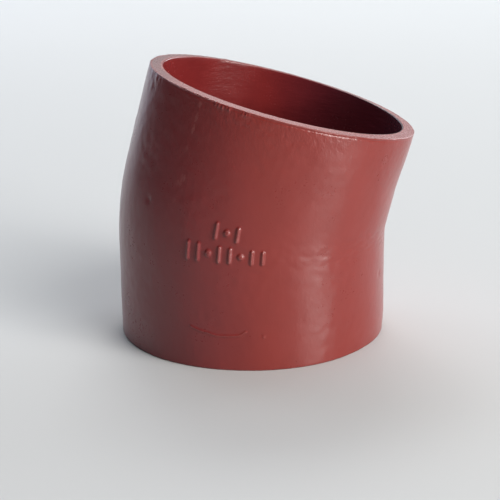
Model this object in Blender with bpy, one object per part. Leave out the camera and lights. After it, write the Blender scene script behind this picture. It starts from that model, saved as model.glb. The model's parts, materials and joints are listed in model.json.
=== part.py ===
# Plain-ended cast-iron drain bend, size DN 100, 15 degrees, with its epoxy coat as separate shells.
# Metres, +Z up. The bend lies in the XZ plane, stands on its lower end and leans towards +X.
import math

import bmesh
import bpy
from mathutils import Matrix, Vector

# Driving dimensions
OUTER_DIAMETER = 0.110
BORE_DIAMETER = 0.100
BEND_ANGLE = math.radians(15)
END_TO_CORNER = 0.050  # from each end to where the axes of the two legs cross
AXIS_BEND_RADIUS = 0.078
COAT = 0.00025
GAP = 0.00025  # between the coat and the iron, and between the coat's own pieces

# Foundry marks: upright bars and round pips in two rows, on the wall's -Y side
MARK_ROWS = ((0.0038, "|o|"), (-0.0040, "||o||o||"))  # height above the middle of the bend, pattern
MARK_DIRECTION = math.radians(-101)  # round the pipe from +X to the middle of the rows
MARK_PITCH = 0.0042
MARK_RELIEF = 0.0008
BAR_WIDTH = 0.0016
BAR_HEIGHT = 0.0063
PIP_DIAMETER = 0.0026
MARK_ROOT = 0.003  # how deep a mark reaches below the wall that it stands on
PIP_SIDES = 12

# Facets
SIDES = 64
BEND_STEPS = 5
CORE_OVERRUN = 0.004  # how far a core runs out of each end of what it hollows

# Worked out from the driving dimensions
OUTER_RADIUS = OUTER_DIAMETER / 2
BORE_RADIUS = BORE_DIAMETER / 2
STRAIGHT = END_TO_CORNER - AXIS_BEND_RADIUS * math.tan(BEND_ANGLE / 2)
BEND_LENGTH = AXIS_BEND_RADIUS * BEND_ANGLE
AXIS_LENGTH = 2 * STRAIGHT + BEND_LENGTH
SKIN = COAT + GAP  # from a finished surface down to the iron
IRON_OUTER_RADIUS = OUTER_RADIUS - SKIN
IRON_BORE_RADIUS = BORE_RADIUS + SKIN
FAR_SIDE = END_TO_CORNER * math.sin(BEND_ANGLE) + OUTER_RADIUS * math.cos(BEND_ANGLE)
LOWER_AXIS_X = (OUTER_RADIUS - FAR_SIDE) / 2  # these two put the origin under the middle of the whole
LOWER_AXIS_Y = MARK_RELIEF / 2

COAT_LOOK = {"color": (0.235, 0.042, 0.040, 1), "roughness": 0.34, "metallic": 0.0}
IRON_LOOK = {"color": (0.085, 0.083, 0.082, 1), "roughness": 0.62, "metallic": 0.9}


def clear_scene():
    for old in list(bpy.data.objects):
        bpy.data.objects.remove(old)


def make_material(name, look):
    material = bpy.data.materials.new(name)
    material.use_nodes = True
    shader = material.node_tree.nodes["Principled BSDF"]
    shader.inputs["Base Color"].default_value = look["color"]
    shader.inputs["Roughness"].default_value = look["roughness"]
    shader.inputs["Metallic"].default_value = look["metallic"]
    material.diffuse_color = look["color"]
    return material


def station(along):
    """The pipe's cross-section plane at a distance along its axis, with local Z along the axis."""
    bend = min(max(along - STRAIGHT, 0), BEND_LENGTH)
    pivot = Vector((AXIS_BEND_RADIUS, 0, STRAIGHT))
    turn = Matrix.Rotation(bend / AXIS_BEND_RADIUS, 4, "Y")
    before = min(along, STRAIGHT)
    after = max(along - STRAIGHT - BEND_LENGTH, 0)
    around_pivot = Matrix.Translation(pivot) @ turn @ Matrix.Translation(-pivot)
    return around_pivot @ Matrix.Translation((0, 0, before + after))


def stations_between(start, end):
    """Distances along the axis where the pipe's wall needs a ring of points."""
    bend_rings = [STRAIGHT + BEND_LENGTH * step / BEND_STEPS for step in range(BEND_STEPS + 1)]
    inner_rings = [along for along in bend_rings if start < along < end]
    return [start] + inner_rings + [end]


def ring(bm, radius, along):
    made = bmesh.ops.create_circle(bm, segments=SIDES, radius=radius, matrix=station(along))
    return list({edge for vert in made["verts"] for edge in vert.link_edges})


def wall(bm, radius, start, end):
    """Adds an open pipe wall and returns the edges of its two end rings."""
    rings = [ring(bm, radius, along) for along in stations_between(start, end)]
    for below, above in zip(rings, rings[1:]):
        bmesh.ops.bridge_loops(bm, edges=below + above)
    return rings[0], rings[-1]


def object_from(bm, name, material):
    bmesh.ops.recalc_face_normals(bm, faces=bm.faces)
    mesh = bpy.data.meshes.new(name)
    bm.to_mesh(mesh)
    bm.free()
    mesh.shade_smooth()
    mesh.set_sharp_from_angle(angle=math.radians(30))
    made = bpy.data.objects.new(name, mesh)
    made.data.materials.append(material)
    bpy.context.scene.collection.objects.link(made)
    return made


def rod(name, radius, start, end, material):
    """A solid bent rod, closed by a flat face at each end."""
    bm = bmesh.new()
    for end_ring in wall(bm, radius, start, end):
        bmesh.ops.contextual_create(bm, geom=end_ring)
    return object_from(bm, name, material)


def add_bar(bm, place, grow, depth):
    size = Matrix.Diagonal((depth, BAR_WIDTH + 2 * grow, BAR_HEIGHT + 2 * grow, 1))
    bmesh.ops.create_cube(bm, size=1, matrix=place @ size)


def add_pip(bm, place, grow, depth):
    radius = PIP_DIAMETER / 2 + grow
    on_end = Matrix.Rotation(math.radians(90), 4, "Y")
    bmesh.ops.create_cone(
        bm,
        cap_ends=True,
        segments=PIP_SIDES,
        radius1=radius,
        radius2=radius,
        depth=depth,
        matrix=place @ on_end,
    )


def foundry_marks(name, wall_radius, grow, material):
    """The marks as loose shapes, rooted in a wall of the given radius and grown sideways by grow."""
    bm = bmesh.new()
    depth = MARK_ROOT + MARK_RELIEF
    for height, pattern in MARK_ROWS:
        plane = station(STRAIGHT + BEND_LENGTH / 2 + height)
        for count, mark in enumerate(pattern):
            offset = (count - (len(pattern) - 1) / 2) * MARK_PITCH
            turn = Matrix.Rotation(MARK_DIRECTION + offset / OUTER_RADIUS, 4, "Z")
            centre = Matrix.Translation((wall_radius + MARK_RELIEF - depth / 2, 0, 0))
            add_mark = add_bar if mark == "|" else add_pip
            add_mark(bm, plane @ turn @ centre, grow, depth)
    return object_from(bm, name, material)


def use_as_tool(tool, target, operation):
    """Joins a helper shape to a piece, or cuts it away, and keeps the helper out of the model."""
    boolean = target.modifiers.new(tool.name, "BOOLEAN")
    boolean.operation = operation
    boolean.solver = "EXACT"
    boolean.object = tool
    tool.hide_render = True
    tool.display_type = "WIRE"


def make_core(name, radius, start, end, material):
    """A rod that hollows a piece between two stations, and runs out of both of its ends."""
    return rod(name, radius, start - CORE_OVERRUN, end + CORE_OVERRUN, material)


def make_sleeve(name, outer_radius, inner_radius, start, end, material):
    """A pipe with a plain wall: a rod hollowed by a core."""
    pipe = rod(name, outer_radius, start, end, material)
    bore = make_core(name + "_core", inner_radius, start, end, material)
    use_as_tool(bore, pipe, "DIFFERENCE")
    return [pipe, bore]


def make_iron_casting(start, end):
    """The bend as it leaves the mould: a pattern with raised marks, hollowed by a plain core."""
    material = make_material("cast_iron", IRON_LOOK)
    casting = rod("iron_casting", IRON_OUTER_RADIUS, start, end, material)
    marks = foundry_marks("iron_marks", IRON_OUTER_RADIUS, -SKIN, material)
    core = make_core("iron_core", IRON_BORE_RADIUS, start, end, material)
    use_as_tool(marks, casting, "UNION")
    use_as_tool(core, casting, "DIFFERENCE")
    return [casting, marks, core]


def make_outside_coating(start, end):
    """The coat on the outer wall, which follows the marks inside and out."""
    material = make_material("epoxy_outside", COAT_LOOK)
    coating = rod("outside_coating", OUTER_RADIUS, start, end, material)
    marks = foundry_marks("coating_marks", OUTER_RADIUS, 0, material)
    use_as_tool(marks, coating, "UNION")
    core_radius = OUTER_RADIUS - COAT
    core = make_core("coating_core", core_radius, start, end, material)
    core_marks = foundry_marks("coating_core_marks", core_radius, -COAT, material)
    use_as_tool(core_marks, core, "UNION")
    use_as_tool(core, coating, "DIFFERENCE")
    return [coating, marks, core, core_marks]


def make_bore_lining(start, end):
    material = make_material("epoxy_bore", COAT_LOOK)
    return make_sleeve("bore_lining", BORE_RADIUS + COAT, BORE_RADIUS, start, end, material)


def make_end_film(name, start):
    material = make_material("epoxy_" + name, COAT_LOOK)
    return make_sleeve(name, OUTER_RADIUS, BORE_RADIUS, start, start + COAT, material)


def make_bend():
    clear_scene()
    start = SKIN
    end = AXIS_LENGTH - SKIN
    pieces = make_iron_casting(start, end)
    pieces += make_outside_coating(start, end)
    pieces += make_bore_lining(start, end)
    pieces += make_end_film("lower_end_film", 0)
    pieces += make_end_film("upper_end_film", AXIS_LENGTH - COAT)
    lower_axis = bpy.data.objects.new("lower_spigot_axis", None)
    bpy.context.scene.collection.objects.link(lower_axis)
    lower_axis.location = (LOWER_AXIS_X, LOWER_AXIS_Y, 0)
    for piece in pieces:
        piece.parent = lower_axis


make_bend()
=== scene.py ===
import json
import math

import bpy
import numpy as np
from mathutils import Matrix, Vector


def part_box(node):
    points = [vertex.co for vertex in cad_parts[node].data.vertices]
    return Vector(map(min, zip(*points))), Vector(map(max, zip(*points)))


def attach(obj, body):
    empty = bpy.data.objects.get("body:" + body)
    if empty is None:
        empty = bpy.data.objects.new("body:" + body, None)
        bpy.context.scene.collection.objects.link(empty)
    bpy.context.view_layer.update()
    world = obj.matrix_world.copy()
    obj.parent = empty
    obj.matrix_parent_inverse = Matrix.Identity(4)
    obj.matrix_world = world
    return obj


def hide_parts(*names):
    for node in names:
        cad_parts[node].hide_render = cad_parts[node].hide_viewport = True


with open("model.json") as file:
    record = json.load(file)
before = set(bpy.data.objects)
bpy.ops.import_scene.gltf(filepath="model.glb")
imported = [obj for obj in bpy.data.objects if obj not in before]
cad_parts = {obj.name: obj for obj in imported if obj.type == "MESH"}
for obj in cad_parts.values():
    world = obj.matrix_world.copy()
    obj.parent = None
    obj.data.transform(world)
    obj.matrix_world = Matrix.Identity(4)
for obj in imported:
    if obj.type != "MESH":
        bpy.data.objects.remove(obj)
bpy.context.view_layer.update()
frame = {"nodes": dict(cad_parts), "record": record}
print("frame loaded:", sorted(frame["nodes"]))


# the pipe's own coordinates: a distance along its axis, an angle round it from +X, and a radius

bendShape = {
    "axisBendRadius": 0.078,
    "upperMount": "upper_spigot_end",
}


def readPipe(shape):
    points = np.array([v.co for v in frame["nodes"]["lower_end_film"].data.vertices])
    low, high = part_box("lower_end_film")
    axis = (low + high) / 2
    radii = np.hypot(points[:, 0] - axis.x, points[:, 1] - axis.y)
    mount = next(m for m in frame["record"]["mounts"] if m["name"] == shape["upperMount"])
    lean = math.atan2(mount["axis"][0], mount["axis"][2])
    upperLow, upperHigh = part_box("upper_end_film")
    # the film's middle plane lies half its thickness below the sawn end
    thick = high.z - low.z
    upper = (upperLow + upperHigh) / 2 + Vector((math.sin(lean), 0, math.cos(lean))) * thick / 2
    corner = upper.z - (upper.x - axis.x) / math.tan(lean)
    straight = corner - shape["axisBendRadius"] * math.tan(lean / 2)
    return {
        "x": axis.x,
        "y": axis.y,
        "outer": float(radii.max()),
        "bore": float(radii.min()),
        "film": thick,
        "lean": lean,
        "straight": straight,
        "turn": shape["axisBendRadius"],
        "length": 2 * straight + shape["axisBendRadius"] * lean,
    }


pipe = readPipe(bendShape)
print("pipe:", {key: round(value, 5) for key, value in pipe.items()})


def placeOnPipe(along, angle, radius):
    # along, angle and radius are arrays of one shape; the result has x, y, z last
    turned = np.clip((along - pipe["straight"]) / pipe["turn"], 0, pipe["lean"])
    past = np.maximum(along - pipe["straight"] - pipe["turn"] * pipe["lean"], 0)
    before = np.minimum(along, pipe["straight"])
    centreX = pipe["turn"] * (1 - np.cos(turned)) + past * np.sin(turned)
    centreZ = before + pipe["turn"] * np.sin(turned) + past * np.cos(turned)
    outwards = radius * np.cos(angle)
    return np.stack(
        (
            pipe["x"] + centreX + outwards * np.cos(turned),
            pipe["y"] + radius * np.sin(angle),
            centreZ - outwards * np.sin(turned),
        ),
        axis=-1,
    )


# relief: heights above the plain wall, in metres, as functions of along and angle

def waveField(seed, count, shortest, longest, squeeze=1.0):
    # band-limited bumps that close on themselves round the pipe; squeeze above 1 draws them out round it
    rng = np.random.default_rng(seed)
    heading = rng.uniform(0, 2 * math.pi, count)
    wavelength = rng.uniform(shortest, longest, count)
    phase = rng.uniform(0, 2 * math.pi, count)
    cycles = np.round(np.cos(heading) / wavelength / squeeze * 2 * math.pi * pipe["outer"])
    rate = 2 * math.pi * np.sin(heading) / wavelength

    def height(along, angle):
        total = np.zeros(np.broadcast(along, angle).shape)
        for n, k, p in zip(cycles, rate, phase):
            total += np.cos(n * angle + k * along + p)
        return total * math.sqrt(2 / count)

    return height


def smoothStep(value, low, high):
    t = np.clip((value - low) / (high - low), 0, 1)
    return t * t * (3 - 2 * t)


middle = pipe["straight"] + pipe["turn"] * pipe["lean"] / 2


foundryMarks = {
    "rows": ((0.0038, "|o|"), (-0.0040, "||o||o||")),  # height above the middle of the bend, pattern
    "direction": math.radians(-101),
    "pitch": 0.0042,
    "relief": 0.00074,
    "barHalfWidth": 0.0007,
    "barHalfHeight": 0.0030,
    "pipRadius": 0.0012,
    "softness": 0.0005,
}


def markRelief(along, angle):
    m = foundryMarks
    x = (angle - m["direction"]) * pipe["outer"]
    y = along - middle
    height = np.zeros(np.broadcast(along, angle).shape)
    for rowHeight, pattern in m["rows"]:
        for count, mark in enumerate(pattern):
            dx = np.abs(x - (count - (len(pattern) - 1) / 2) * m["pitch"])
            dy = np.abs(y - rowHeight)
            if mark == "|":
                dy = np.maximum(dy - m["barHalfHeight"] + m["barHalfWidth"], 0)
                away = np.hypot(dx, dy) - m["barHalfWidth"]
            else:
                away = np.hypot(dx, dy) - m["pipRadius"]
            height = np.maximum(height, 1 - smoothStep(away, -m["softness"], m["softness"] / 2))
    return m["relief"] * height


# how the casting strays from a plain pipe: metres outwards at places along it, strongest on one side

wallForm = (
    {
        "angle": -8,
        "spread": 42,
        "places": (0.000, 0.002, 0.006, 0.010, 0.014, 0.020, 0.030, 0.040, 0.052, 0.062, 0.070, 0.076,
                   0.082, 0.087, 0.092, 0.100),
        "offsets": (-0.00005, 0.00015, 0.00042, 0.00045, 0.00036, 0.00020, 0.00015, 0.00022,
                    0.00005, -0.00005, -0.00022, -0.00040, -0.00008, 0.00022, 0.00045, 0.00058),
    },
    {
        "angle": -176,
        "spread": 40,
        "places": (0.000, 0.004, 0.015, 0.022, 0.035, 0.045, 0.055, 0.065, 0.075, 0.085, 0.094, 0.100),
        "offsets": (-0.00005, 0.00005, 0.00014, 0.00008, 0.00018, 0.00002, 0.00010, 0.00014, 0.00020, 0.00025,
                    0.00020, 0.00002),
    },
    {
        "angle": -36,
        "spread": 20,
        "places": (0.000, 0.003, 0.008, 0.014, 0.100),
        "offsets": (-0.00050, -0.00042, -0.00010, 0, 0),
    },
)
boreForm = {"shift": 0.00035, "from": 0.035}
farEdge = {"rise": 0.00042, "from": 0.009}  # the saw cut stands a little higher on the far side


formBlur = {"samples": 401, "reach": 12}


def smoothCurve(places, offsets):
    # the offsets joined by a line whose corners are blurred over a few millimetres
    reach = formBlur["reach"]
    dense = np.linspace(0, pipe["length"], formBlur["samples"])
    kernel = np.exp(-(np.linspace(-2, 2, 2 * reach + 1) ** 2))
    padded = np.pad(np.interp(dense, places, offsets), reach, mode="edge")
    return dense, np.convolve(padded, kernel / kernel.sum(), mode="valid")


def outsideForm(along, angle):
    total = np.zeros(np.broadcast(along, angle).shape)
    for side in wallForm:
        away = (angle - math.radians(side["angle"]) + math.pi) % (2 * math.pi) - math.pi
        dense, curve = smoothCurve(side["places"], side["offsets"])
        total += np.interp(along, dense, curve) * np.exp(-((away / math.radians(side["spread"])) ** 2))
    return total


def cutForm(along, angle):
    start = pipe["length"] - farEdge["from"]
    return farEdge["rise"] * smoothStep(np.sin(angle), -0.1, 0.9) * smoothStep(along, start, pipe["length"])


def coredForm(along, angle):
    # the core sat a little to the right at the upper end, so the wall is thicker on the left
    return boreForm["shift"] * np.cos(angle) * smoothStep(along, boreForm["from"], pipe["length"])


# small casting and coating faults: a place along and round the pipe, a size and a height

def blob(along, angle, fault):
    x = (angle - math.radians(fault["angle"])) * pipe["outer"]
    y = (along - fault["along"]) / fault.get("stretch", 1)
    return fault["height"] * np.exp(-(x * x + y * y) / fault["size"] ** 2)


scar = {
    "points": ((0.0169, -115.4), (0.0157, -111.6), (0.0152, -108.4), (0.0142, -104.5),
               (0.0142, -101.0), (0.0144, -97.4), (0.0146, -94.8), (0.0162, -92.4)),
    "width": 0.00036,
    "height": 0.00036,
}
faults = (
    {"along": 0.0140, "angle": -85.2, "size": 0.0005, "height": 0.00028},
    {"along": 0.0147, "angle": -86.2, "size": 0.0006, "height": -0.00012},
    {"along": 0.0278, "angle": -20, "size": 0.0012, "height": -0.0003},
    {"along": 0.0556, "angle": -140, "size": 0.0009, "height": -0.0003},
    {"along": 0.0971, "angle": -162, "size": 0.0008, "height": 0.00022, "stretch": 2.0},
    {"along": 0.0975, "angle": -156, "size": 0.0008, "height": 0.00026, "stretch": 2.2},
    {"along": 0.0978, "angle": -153, "size": 0.0007, "height": 0.00020, "stretch": 1.6},
    {"along": 0.0938, "angle": -159, "size": 0.0009, "height": 0.00018, "stretch": 2.0},
)
# drips of coat hanging just under the upper edge
drips = {
    "places": ((-118.4, 0.0011, 0.8), (-116.9, 0.0013, 1.0), (-115.1, 0.0015, 1.2), (-113.7, 0.0012, 0.7),
               (-112.3, 0.0014, 1.1), (-106.5, 0.0013, 0.9), (-105.2, 0.0014, 1.1), (-104.2, 0.0011, 0.8)),
    "width": 0.00036,
    "length": 0.0008,
    "height": 0.00030,
}


def dripRelief(along, angle):
    total = np.zeros(np.broadcast(along, angle).shape)
    for place, below, strength in drips["places"]:
        x = (angle - math.radians(place)) * pipe["outer"] / drips["width"]
        y = (along - (pipe["length"] - below)) / drips["length"]
        total += strength * drips["height"] * np.exp(-(x * x) - y * y * y * y)
    return total


# the upper edge: a shallow groove under a fat lip of coat, and small chips and swellings along the edge

edgeShape = {
    "grooveBelow": 0.00100,
    "grooveHalf": 0.00034,
    "groove": 0.00016,
    "grooveLeast": 0.55,  # share of the groove's depth left of the deeper stretch
    "deeperFrom": math.radians(-100),
    "deeperTo": math.radians(-88),
    "grooveUneven": 0.18,
    "uneven": 0.00007,
}
edgeWave = {"seed": 31, "count": 60, "shortest": 0.0015, "longest": 0.0060}
grooveWave = {"seed": 32, "count": 30, "shortest": 0.008, "longest": 0.03}
wornEdge = {"angle": -131, "spread": 13, "depth": 0.00016}


def grooveRelief(along, angle):
    e = edgeShape
    y = (along - (pipe["length"] - e["grooveBelow"])) / e["grooveHalf"]
    deeper = (1 - e["grooveLeast"]) * smoothStep(angle, e["deeperFrom"], e["deeperTo"])
    strength = e["grooveLeast"] + deeper + e["grooveUneven"] * grainField(grooveWave)(0 * along, angle)
    return -e["groove"] * strength * np.exp(-y * y)


def edgeRelief(along, angle):
    away = (angle - math.radians(wornEdge["angle"])) / math.radians(wornEdge["spread"])
    wave = grainField(edgeWave)(0 * along, angle)
    worn = wornEdge["depth"] * np.exp(-away * away)
    return edgeShape["uneven"] * wave * (0.6 + 0.8 * np.exp(-away * away)) - worn


def scarRelief(along, angle):
    # a thin raised thread of coat through a few points
    nearest = np.full(np.broadcast(along, angle).shape, 1.0)
    x = angle * pipe["outer"]
    for (s0, a0), (s1, a1) in zip(scar["points"], scar["points"][1:]):
        x0, x1 = math.radians(a0) * pipe["outer"], math.radians(a1) * pipe["outer"]
        span = (x1 - x0) ** 2 + (s1 - s0) ** 2
        t = np.clip(((x - x0) * (x1 - x0) + (along - s0) * (s1 - s0)) / span, 0, 1)
        nearest = np.minimum(nearest, np.hypot(x - x0 - t * (x1 - x0), along - s0 - t * (s1 - s0)))
    return scar["height"] * np.exp(-((nearest / scar["width"]) ** 2))


outsideGrain = {
    "peel": {"seed": 11, "count": 120, "shortest": 0.0032, "longest": 0.0055, "height": 0.000010},
    "dimple": {"seed": 12, "count": 90, "shortest": 0.0050, "longest": 0.0110, "height": 0.000020},
    "swell": {"seed": 13, "count": 40, "shortest": 0.015, "longest": 0.045, "height": 0.00005},
    "patch": {"seed": 14, "count": 24, "shortest": 0.02, "longest": 0.05},
}


def grainField(look):
    return waveField(look["seed"], look["count"], look["shortest"], look["longest"], look.get("squeeze", 1))


def outsideRelief(along, angle):
    g = outsideGrain
    patch = smoothStep(grainField(g["patch"])(along, angle), -1.2, 1.6)
    height = g["peel"]["height"] * grainField(g["peel"])(along, angle) * (0.5 + patch)
    height += g["dimple"]["height"] * grainField(g["dimple"])(along, angle) * (0.4 + patch)
    height += g["swell"]["height"] * grainField(g["swell"])(along, angle)
    for fault in faults:
        height += blob(along, angle, fault)
    height += scarRelief(along, angle) + markRelief(along, angle)
    return height + dripRelief(along, angle) + grooveRelief(along, angle)


boreGrain = {
    "brush": {
        "seed": 21, "count": 120, "shortest": 0.0032, "longest": 0.0060, "height": 0.000008, "squeeze": 3.0,
    },
    "swell": {"seed": 22, "count": 40, "shortest": 0.010, "longest": 0.035, "height": 0.00004},
}


def boreRelief(along, angle):
    g = boreGrain
    height = g["brush"]["height"] * grainField(g["brush"])(along, angle)
    return height + g["swell"]["height"] * grainField(g["swell"])(along, angle)


# along is stretched because the upper face rises only a little across its width
endGrain = {
    "seed": 41, "count": 60, "shortest": 0.002, "longest": 0.009, "height": 0.000012,
    "riseStretch": 40,
}


def endRelief(along, angle):
    return endGrain["height"] * grainField(endGrain)(endGrain["riseStretch"] * along, angle)


# grids: rows follow a closed outline across the coat, columns run round the pipe

def gradedSteps(start, end, coarse, fine, fineFrom, fineTo, ease):
    # places from start to end, coarse apart, and fine apart between fineFrom and fineTo
    dense = np.linspace(start, end, 20001)
    close = smoothStep(dense, fineFrom - ease, fineFrom) * (1 - smoothStep(dense, fineTo, fineTo + ease))
    count = np.concatenate(([0], np.cumsum(np.diff(dense) / (coarse + (fine - coarse) * close[1:]))))
    steps = max(int(round(count[-1])), 1)
    return np.interp(np.arange(steps + 1) * count[-1] / steps, count, dense)


class Outline:
    # rows of a closed outline: radius, along, the outward normal in that plane, and how much relief,
    # edge wear, outer form and bore form each row takes
    def __init__(self, outer=0.0, bore=0.0):
        self.rows = []
        self.outer = outer
        self.bore = bore

    def point(self, radius, along, normal=(0, 0), relief=0.0, edge=0.0, follow=1.0):
        forms = (self.outer * follow, self.bore * follow)
        self.rows.append((radius, along, normal[0], normal[1], relief, edge) + forms)

    def arc(self, radius, along, size, start, end, steps, relief=0.0, edge=0.0):
        for step in range(steps + 1):
            turn = math.radians(start + (end - start) * step / steps)
            normal = (math.cos(turn), math.sin(turn))
            self.point(
                radius + size * normal[0], along + size * normal[1], normal,
                relief * abs(normal[0]), edge * abs(math.sin(2 * turn)),
            )

    def wall(self, radius, places, facing, relief=0.0, follow=1.0):
        for along in places:
            self.point(radius, along, (facing, 0), relief, 0, follow)


def shellFrom(name, outline, angles, relief, material):
    columns = (np.array(col)[:, None] for col in zip(*outline.rows))
    radius, along, normalR, normalS, amount, edge, outer, bore = columns
    angle = angles[None, :]
    height = amount * relief(along, angle) + edge * edgeRelief(along, angle)
    form = outer * outsideForm(along, angle) + bore * coredForm(along, angle)
    along = along + cutForm(along, angle) + normalS * height
    points = placeOnPipe(along, angle + 0 * along, radius + form + normalR * height)
    rows, columns = points.shape[:2]
    corner = np.arange(rows * columns).reshape(rows, columns)
    nextColumn = np.roll(corner, -1, axis=1)
    nextRow = np.roll(corner, -1, axis=0)
    quads = np.stack((corner, nextColumn, np.roll(nextColumn, -1, axis=0), nextRow), axis=-1)
    mesh = bpy.data.meshes.new(name)
    mesh.from_pydata(points.reshape(-1, 3).tolist(), [], quads.reshape(-1, 4).tolist())
    mesh.validate()
    mesh.shade_smooth()
    mesh.set_sharp_from_angle(angle=math.radians(50))
    mesh.materials.append(material)
    made = bpy.data.objects.new(name, mesh)
    bpy.context.scene.collection.objects.link(made)
    print(name, "rows", rows, "columns", columns, "triangles", 2 * rows * columns)
    return made


# material graph: a Wire is one output socket, and sums and products of wires add Math nodes

class Wire:
    def __init__(self, tree, socket=None):
        self.tree = tree
        self.socket = socket

    def node(self, kind, settings=None, sockets=None, output=0):
        made = self.tree.nodes.new(kind)
        for key, value in (settings or {}).items():
            setattr(made, key, value)
        for key, value in (sockets or {}).items():
            if isinstance(value, Wire):
                self.tree.links.new(value.socket, made.inputs[key])
            else:
                made.inputs[key].default_value = value
        return Wire(self.tree, made.outputs[output]) if made.outputs else made

    def math(self, operation, first, second):
        return self.node("ShaderNodeMath", {"operation": operation}, {0: first, 1: second})

    def __add__(self, other):
        return self.math("ADD", self, other)

    def __radd__(self, other):
        return self.math("ADD", other, self)

    def __sub__(self, other):
        return self.math("SUBTRACT", self, other)

    def __rsub__(self, other):
        return self.math("SUBTRACT", other, self)

    def __mul__(self, other):
        return self.math("MULTIPLY", self, other)

    def __rmul__(self, other):
        return self.math("MULTIPLY", other, self)


def newMaterial(name):
    material = bpy.data.materials.new(name)
    material.use_nodes = True
    material.node_tree.nodes.clear()
    return material, Wire(material.node_tree)


def noise(wire, place, scale, detail=2.0, roughness=0.5):
    return wire.node(
        "ShaderNodeTexNoise",
        {"noise_dimensions": "3D"},
        {"Vector": place, "Scale": scale, "Detail": detail, "Roughness": roughness},
    )


def blendColors(wire, amount, first, second):
    return wire.node(
        "ShaderNodeMix", {"data_type": "RGBA"}, {0: amount, 6: first, 7: second}, output=2
    )


def remap(wire, value, low, high, newLow, newHigh):
    return wire.node(
        "ShaderNodeMapRange", {"clamp": True}, {0: value, 1: low, 2: high, 3: newLow, 4: newHigh}
    )


# what the three paints share; each then has its own colours and one painted shade, a darker colour that comes
# in along x, in metres, on the side that lies in shade
epoxyLook = {
    # worn: a lighter colour on sharp corners, partly wear and partly a painted highlight on convex edges, the
    # raised marks and the coat thread
    "worn": (0.360, 0.125, 0.112, 1),
    "wearAndHighlightCorner": (0.522, 0.57),  # pointiness at which the wear and painted highlight start, and at which they are full
    "leastWearAndHighlight": 0.3,
    "contrast": (0.35, 0.65),
    "mottleScale": 60,
    "speckScale": 900,
    "unevenGloss": 0.10,
    "peelScale": 900,
    "peelStretch": (1, 1, 0.55),
    "peelDistance": 0.00003,
    "runScale": 620,
    "runStretch": (1, 1, 0.62),
    "runDistance": 0.00036,
    "runFrom": 0.016,
    "patchScale": 45,
    "patchContrast": (0.35, 0.6),
    "leastRun": 0.25,
}
outsideLook = dict(
    epoxyLook,
    color=(0.222, 0.0275, 0.0215, 1),
    dark=(0.207, 0.0255, 0.0200, 1),
    # painted shade: the left side of the outside turns darker and bluer
    paintedShade=(0.190, 0.0270, 0.0340, 1),
    paintedShadeGone=0.000,
    paintedShadeFull=-0.050,
    roughness=0.30,
    brushed=0.7,
    # these three keep the wear and painted highlight to the front and the rim, away from the shaded left side
    wearAndHighlightFront=(-0.0415, -0.0465),
    wearAndHighlightSide=(-0.045, -0.015),
    wearAndHighlightBelowRim=0.0025,
)
boreLook = dict(
    epoxyLook,
    color=(0.190, 0.0185, 0.0180, 1),
    dark=(0.158, 0.0155, 0.0155, 1),
    # a pale pink on sharp corners: partly wear, partly a painted highlight along the bore's rounded edges
    worn=(0.52, 0.20, 0.18, 1),
    # painted shade: the right side of the bore turns much darker and bluer
    paintedShade=(0.062, 0.0140, 0.0270, 1),
    paintedShadeGone=0.000,
    paintedShadeFull=0.050,
    roughness=0.25,
    brushed=0.3,
    peelStretch=(0.35, 0.35, 1),
    runStretch=(0.30, 0.30, 1.2),
    runDistance=0.00015,
    runFrom=0.060,
)
endLook = dict(
    epoxyLook,
    color=(0.330, 0.120, 0.116, 1),
    dark=(0.300, 0.106, 0.103, 1),
    # painted shade: towards the left the sawn ends turn dark grey
    paintedShade=(0.120, 0.096, 0.102, 1),
    paintedShadeGone=-0.032,
    paintedShadeFull=-0.056,
    roughness=0.27,
    brushed=0.0,
    peelDistance=0.000012,
    runDistance=0.00003,
)


def distanceBelowRim(wire, place):
    # metres below the plane of the upper end, on the pipe's upper leg
    axis = (math.sin(pipe["lean"]), 0, math.cos(pipe["lean"]))
    end = placeOnPipe(np.array(pipe["length"]), np.array(0.0), np.array(0.0))
    reach = wire.node("ShaderNodeVectorMath", {"operation": "DOT_PRODUCT"}, {0: place, 1: axis}, output=1)
    return float(np.dot(end, axis)) - reach


def wearAndHighlightSpots(wire, look, place, below, speck):
    # how far the coat has worn through on sharp corners, with a painted highlight on convex edges, broken up
    # by the speckle
    corner = wire.node("ShaderNodeNewGeometry", output=7)
    worn = remap(wire, corner, *look["wearAndHighlightCorner"], 0, 1)
    worn = worn * remap(wire, speck, *look["contrast"], look["leastWearAndHighlight"], 1)
    if "wearAndHighlightFront" not in look:
        return worn
    # on the outside the worn and highlighted spots keep to the rim and to the front of the pipe, and off its
    # left side, which lies in shade
    side = wire.node("ShaderNodeSeparateXYZ", None, {0: place})
    depth = wire.node("ShaderNodeSeparateXYZ", None, {0: place}, 1)
    front = remap(wire, depth, *look["wearAndHighlightFront"], 0, 1)
    rim = remap(wire, below, 0, look["wearAndHighlightBelowRim"], 1, 0)
    return worn * front.math("MAXIMUM", front, rim) * remap(wire, side, *look["wearAndHighlightSide"], 0, 1)


def stretched(wire, place, stretch):
    return wire.node("ShaderNodeVectorMath", {"operation": "MULTIPLY"}, {0: place, 1: stretch})


def coatHeight(wire, look, place, below):
    # orange peel everywhere, and runs that fade with the distance below the rim
    peel = noise(wire, stretched(wire, place, look["peelStretch"]), look["peelScale"], 2, 0.5)
    runs = noise(wire, stretched(wire, place, look["runStretch"]), look["runScale"], 2, 0.55)
    patches = noise(wire, place, look["patchScale"], 2, 0.5)
    amount = remap(wire, below, 0, look["runFrom"], 1, 0)
    amount = amount * remap(wire, patches, *look["patchContrast"], look["leastRun"], 1)
    return peel * look["peelDistance"] + runs * amount * look["runDistance"]


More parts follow.
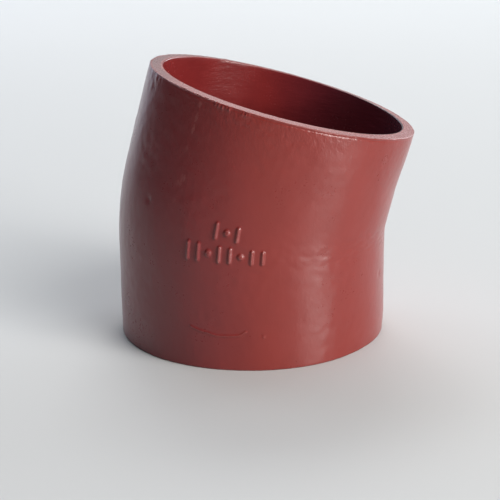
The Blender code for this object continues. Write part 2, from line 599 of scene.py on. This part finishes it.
def epoxyMaterial(name, look):
    material, wire = newMaterial(name)
    place = wire.node("ShaderNodeTexCoord", output=3)
    mottle = noise(wire, place, look["mottleScale"], 4, 0.6)
    speck = noise(wire, place, look["speckScale"], 3, 0.6)
    below = distanceBelowRim(wire, place)
    side = wire.node("ShaderNodeSeparateXYZ", None, {0: place})
    color = blendColors(wire, remap(wire, mottle, *look["contrast"], 0, 1), look["dark"], look["color"])
    # painted shade blended in along x
    paintedShadeAmount = remap(wire, side, look["paintedShadeGone"], look["paintedShadeFull"], 0, 1)
    color = blendColors(wire, paintedShadeAmount, color, look["paintedShade"])
    # wear and painted highlight on sharp convex corners
    color = blendColors(wire, wearAndHighlightSpots(wire, look, place, below, speck), color, look["worn"])
    rough = look["roughness"] + (mottle - 0.5) * look["unevenGloss"] + (speck - 0.5) * look["unevenGloss"]
    height = coatHeight(wire, look, place, below)
    bump = wire.node("ShaderNodeBump", None, {"Height": height, "Distance": 1.0, "Strength": 1.0})
    shader = wire.node(
        "ShaderNodeBsdfPrincipled",
        None,
        {"Base Color": color, "Roughness": rough, "Normal": bump, "IOR": 1.52,
         "Anisotropic": look["brushed"], "Anisotropic Rotation": 0.25},
    )
    wire.node("ShaderNodeOutputMaterial", None, {"Surface": shader})
    return material


ironLook = {
    "color": (0.085, 0.083, 0.082, 1),
    "dark": (0.045, 0.044, 0.044, 1),
    "scale": 700,
    "contrast": (0.3, 0.7),
    "roughness": 0.5,
    "unevenGloss": 0.3,
    "metallic": 0.9,
    "grainDepth": 0.0001,
}


def ironMaterial(name, look):
    material, wire = newMaterial(name)
    place = wire.node("ShaderNodeTexCoord", output=3)
    grain = noise(wire, place, look["scale"], 4, 0.6)
    color = blendColors(wire, remap(wire, grain, *look["contrast"], 0, 1), look["dark"], look["color"])
    bump = wire.node("ShaderNodeBump", None, {"Height": grain, "Distance": look["grainDepth"]})
    rough = look["roughness"] + grain * look["unevenGloss"]
    shader = wire.node(
        "ShaderNodeBsdfPrincipled",
        None,
        {"Base Color": color, "Roughness": rough, "Metallic": look["metallic"], "Normal": bump},
    )
    wire.node("ShaderNodeOutputMaterial", None, {"Surface": shader})
    return material


iron = frame["nodes"]["iron_casting"]
iron.data.materials.clear()
iron.data.materials.append(ironMaterial("castIron", ironLook))
print("materials made")


coatShape = {
    "rimRound": 0.00032,  # of the coat over the sawn outer edge
    "footRound": 0.0005,
    "boreRound": 0.00045,
    "lap": 0.0003,  # how far the wall's coat runs on over the sawn face
    "crown": 0.00020,  # the upper end is higher than the plane at the bore and lower at the outer edge
    "backOut": 0.00047,  # the hidden side of each wall coat, just clear of the iron
    "rowStep": 0.00094,
    "columnStep": 0.00094,
    "fineStep": 0.00034,
    "edgeStep": 0.00013,
    "edgeBand": 0.0019,
    "fineAlong": 0.0085,
    "fineAngles": (-133, -82),
    "ease": 0.009,
    "scarFrom": 0.0134,
    "scarTo": 0.0173,
    "scarTop": 0.024,
    "scarEase": 0.002,
    "backInset": 0.001,
    "backRows": 7,
    "plainCount": 380,
}


def columnAngles(shape):
    centre = foundryMarks["direction"]
    low, high = (math.radians(value) for value in shape["fineAngles"])
    coarse, fine, ease = (shape[key] / pipe["outer"] for key in ("columnStep", "fineStep", "ease"))
    places = gradedSteps(centre - math.pi, centre + math.pi, coarse, fine, low, high, ease)
    return places[:-1]


def outsideOutline(shape):
    line = Outline(outer=1)
    outer, film = pipe["outer"], pipe["film"]
    length = pipe["length"] - shape["crown"]
    foot, rim, lap = shape["footRound"], shape["rimRound"], shape["lap"]
    band = length - rim - shape["edgeBand"]
    places = gradedSteps(
        foot, shape["scarTop"], shape["rowStep"], shape["fineStep"],
        shape["scarFrom"], shape["scarTo"], shape["scarEase"],
    )
    upper = gradedSteps(
        shape["scarTop"], band, shape["rowStep"], shape["fineStep"],
        middle - shape["fineAlong"], middle + shape["fineAlong"], shape["ease"],
    )
    places = np.concatenate((places, upper[1:]))
    edge = np.linspace(band, length - rim, int(shape["edgeBand"] / shape["edgeStep"]))
    back = np.linspace(length - rim - shape["backInset"], foot + shape["backInset"], shape["backRows"])
    line.point(outer - foot - lap, 0, (0, -1))
    line.arc(outer - foot, foot, foot, -90, 0, 4, 1)
    line.wall(outer, places[1:], 1, 1)
    line.wall(outer, edge[1:-1], 1, 1)
    line.arc(outer - rim, length - rim, rim, 0, 90, 5, 1, 1)
    line.point(outer - rim - lap, length, (0, 1))
    line.point(outer - rim - lap, length - film)
    line.arc(outer - rim, length - rim, rim - film, 90, 0, 3)
    line.wall(outer - shape["backOut"], back, 1, 0, 0)
    line.arc(outer - foot, foot, foot - film, 0, -90, 3)
    line.point(outer - foot - lap, film)
    return line


def boreOutline(shape):
    line = Outline(bore=1)
    bore, film = pipe["bore"], pipe["film"]
    length = pipe["length"] + shape["crown"]
    turn, lap = shape["boreRound"], shape["lap"]
    places = gradedSteps(turn, length - turn, shape["rowStep"], shape["rowStep"], 0, 0, 1)[::-1]
    back = np.linspace(turn + shape["backInset"], length - turn - shape["backInset"], shape["backRows"])
    line.point(bore + turn + lap, length, (0, 1))
    line.arc(bore + turn, length - turn, turn, 90, 180, 4, 1)
    line.wall(bore, places[1:-1], -1, 1)
    line.arc(bore + turn, turn, turn, 180, 270, 4, 1)
    line.point(bore + turn + lap, 0, (0, -1))
    line.point(bore + turn + lap, film)
    line.arc(bore + turn, turn, turn - film, 270, 180, 2)
    line.wall(bore + shape["backOut"], back, -1, 0, 0)
    line.arc(bore + turn, length - turn, turn - film, 180, 90, 2)
    line.point(bore + turn + lap, length - film)
    return line


def endOutline(shape, upper):
    line = Outline()
    edge = shape["rimRound"] if upper else shape["footRound"]
    outer = pipe["outer"] - edge - shape["lap"]
    inner = pipe["bore"] + shape["boreRound"] + shape["lap"]
    crown = shape["crown"] if upper else 0
    face = pipe["length"] if upper else 0
    depth = -pipe["film"] if upper else pipe["film"]
    steps = np.linspace(0, 1, 9) if upper else np.linspace(1, 0, 9)
    for under in (False, True):
        for step in steps[::-1] if under else steps:
            line.outer, line.bore = 1 - step, step
            radius = outer + (inner - outer) * step
            along = face + crown * (2 * step - 1)
            if under:
                line.point(radius, along + depth)
            else:
                line.point(radius, along, (0, 1 if upper else -1), 1)
    return line


fineColumns = columnAngles(coatShape)
plainColumns = np.linspace(-math.pi, math.pi, coatShape["plainCount"] + 1)[:-1]
outsideEpoxy = epoxyMaterial("epoxyOutside", outsideLook)
boreEpoxy = epoxyMaterial("epoxyBore", boreLook)
endEpoxy = epoxyMaterial("epoxySawnEnd", endLook)
wall, bore = outsideOutline(coatShape), boreOutline(coatShape)
upperEnd, lowerEnd = endOutline(coatShape, True), endOutline(coatShape, False)
coatPieces = (
    ("outsideCoat", wall, fineColumns, outsideRelief, outsideEpoxy, "outside_coating", "epoxy_outside"),
    ("boreCoat", bore, plainColumns, boreRelief, boreEpoxy, "bore_lining", "epoxy_bore"),
    ("upperEndCoat", upperEnd, plainColumns, endRelief, endEpoxy, "upper_end_film", "epoxy_upper_end"),
    ("lowerEndCoat", lowerEnd, plainColumns, endRelief, endEpoxy, "lower_end_film", "epoxy_lower_end"),
)
for name, outline, columns, relief, material, node, slot in coatPieces:
    piece = shellFrom(name, outline, columns, relief, material)
    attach(piece, "root")
    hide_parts(node)
print("coat made")


cameraView = {
    "lens": 100.2,
    "sensor": 36,
    "distance": 0.58386,
    "elevation": math.radians(17.0),
    "azimuth": math.radians(0.4),
    "roll": math.radians(-0.545),
    "aimRight": -0.00075,
    "aimHeight": 0.03239,
}


def makeCamera(v):
    turn = Matrix.Rotation(v["azimuth"], 3, "Z")
    back = turn @ Vector((0, -math.cos(v["elevation"]), math.sin(v["elevation"])))
    right = turn @ Vector((1, 0, 0))
    up = back.cross(right)
    aim = Vector((pipe["x"], pipe["y"], v["aimHeight"])) + right * v["aimRight"]
    tiltedRight = right * math.cos(v["roll"]) + up * math.sin(v["roll"])
    tiltedUp = up * math.cos(v["roll"]) - right * math.sin(v["roll"])
    data = bpy.data.cameras.new("studioCamera")
    data.lens = v["lens"]
    data.sensor_width = v["sensor"]
    data.clip_start = 0.01
    data.clip_end = 50
    camera = bpy.data.objects.new("studioCamera", data)
    rotation = Matrix((tiltedRight, tiltedUp, back)).transposed().to_4x4()
    camera.matrix_world = Matrix.Translation(aim + back * v["distance"]) @ rotation
    bpy.context.scene.collection.objects.link(camera)
    bpy.context.scene.camera = camera


floorLook = {
    "half": 4.0,
    "drop": 0.00005,
    "color": (0.63, 0.635, 0.630, 1),
    "dark": (0.615, 0.62, 0.615, 1),
    "cloudScale": 3,
    "roughness": 0.75,
}


def makeFloor(look):
    half = look["half"]
    mesh = bpy.data.meshes.new("floor")
    z = -look["drop"]
    corners = [(-half, -half, z), (half, -half, z), (half, half, z), (-half, half, z)]
    mesh.from_pydata(corners, [], [(0, 1, 2, 3)])
    material, wire = newMaterial("paperFloor")
    place = wire.node("ShaderNodeTexCoord", output=3)
    cloud = noise(wire, place, look["cloudScale"], 2, 0.5)
    color = blendColors(wire, cloud, look["dark"], look["color"])
    gloss = {"Base Color": color, "Roughness": look["roughness"]}
    shader = wire.node("ShaderNodeBsdfPrincipled", None, gloss)
    wire.node("ShaderNodeOutputMaterial", None, {"Surface": shader})
    mesh.materials.append(material)
    floor = bpy.data.objects.new("floor", mesh)
    bpy.context.scene.collection.objects.link(floor)


lights = (
    {"name": "keyStrip", "azimuth": 56.5, "elevation": 4.2, "distance": 2.2,
     "size": (0.54, 0.38), "power": 21,
     "color": (1.0, 0.985, 0.960)},
    {"name": "keyLow", "azimuth": 49, "elevation": 14, "distance": 2.2, "size": (0.9, 1.0), "power": 24,
     "color": (1.0, 0.985, 0.965)},
    {"name": "keyHigh", "azimuth": 48, "elevation": 48, "distance": 2.2,
     "size": (1.3, 1.3), "power": 28,
     "color": (1.0, 0.990, 0.975)},
    {"name": "backRight", "azimuth": 140, "elevation": 14, "distance": 2.4,
     "size": (1.6, 1.2), "power": 21,
     "color": (0.90, 0.99, 1.07)},
    {"name": "backHigh", "azimuth": 180, "elevation": 40, "distance": 2.4,
     "size": (1.6, 1.2), "power": 11.2,
     "color": (0.97, 0.99, 1.0)},
    {"name": "backLow", "azimuth": 180, "elevation": 14, "distance": 2.4,
     "size": (1.6, 1.2), "power": 2.6,
     "color": (0.96, 0.99, 1.02)},
    {"name": "backLeft", "azimuth": -150, "elevation": 14, "distance": 2.4,
     "size": (1.5, 1.2), "power": 6.5,
     "color": (0.86, 0.95, 1.16)},
    {"name": "backLeftHigh", "azimuth": -140, "elevation": 40, "distance": 2.4,
     "size": (1.6, 1.2), "power": 4.2,
     "color": (0.80, 0.94, 1.20)},
    {"name": "top", "azimuth": 0, "elevation": 89, "distance": 2.0, "size": (1.6, 1.6), "power": 3.5,
     "color": (0.98, 0.99, 1.0)},
)
sweepLights = (
    {"name": "sweepMiddle", "place": (0, 1.3, 1.5), "size": 0.8, "power": 10.5, "color": (0.98, 0.99, 1.01)},
    {"name": "sweepLeft", "place": (-0.8, 0.9, 1.5), "size": 0.8, "power": 3.5, "color": (0.98, 0.99, 1.01)},
)


lightAim = Vector((0, 0, 0.05))
studioWorld = {"color": (0.80, 0.83, 0.87, 1), "strength": 0.02}


def towards(azimuth, elevation):
    level = math.cos(elevation)
    return Vector((math.sin(azimuth) * level, -math.cos(azimuth) * level, math.sin(elevation)))


def makeLights():
    for light in lights:
        data = bpy.data.lights.new(light["name"], "AREA")
        data.shape = "RECTANGLE"
        data.size, data.size_y = light["size"]
        data.energy = light["power"]
        data.color = light["color"]
        back = towards(math.radians(light["azimuth"]), math.radians(light["elevation"]))
        lamp = bpy.data.objects.new(light["name"], data)
        lamp.location = lightAim + back * light["distance"]
        lamp.rotation_euler = back.to_track_quat("Z", "Y").to_euler()
        bpy.context.scene.collection.objects.link(lamp)
    for light in sweepLights:
        data = bpy.data.lights.new(light["name"], "AREA")
        data.size = light["size"]
        data.energy = light["power"]
        data.color = light["color"]
        lamp = bpy.data.objects.new(light["name"], data)
        lamp.location = light["place"]
        bpy.context.scene.collection.objects.link(lamp)
    world = bpy.data.worlds.new("studio")
    bpy.context.scene.world = world
    world.use_nodes = True
    background = world.node_tree.nodes["Background"]
    background.inputs["Color"].default_value = studioWorld["color"]
    background.inputs["Strength"].default_value = studioWorld["strength"]


makeCamera(cameraView)
makeFloor(floorLook)
makeLights()
bpy.context.scene.view_settings.view_transform = "Standard"
print("camera, floor and lights made")
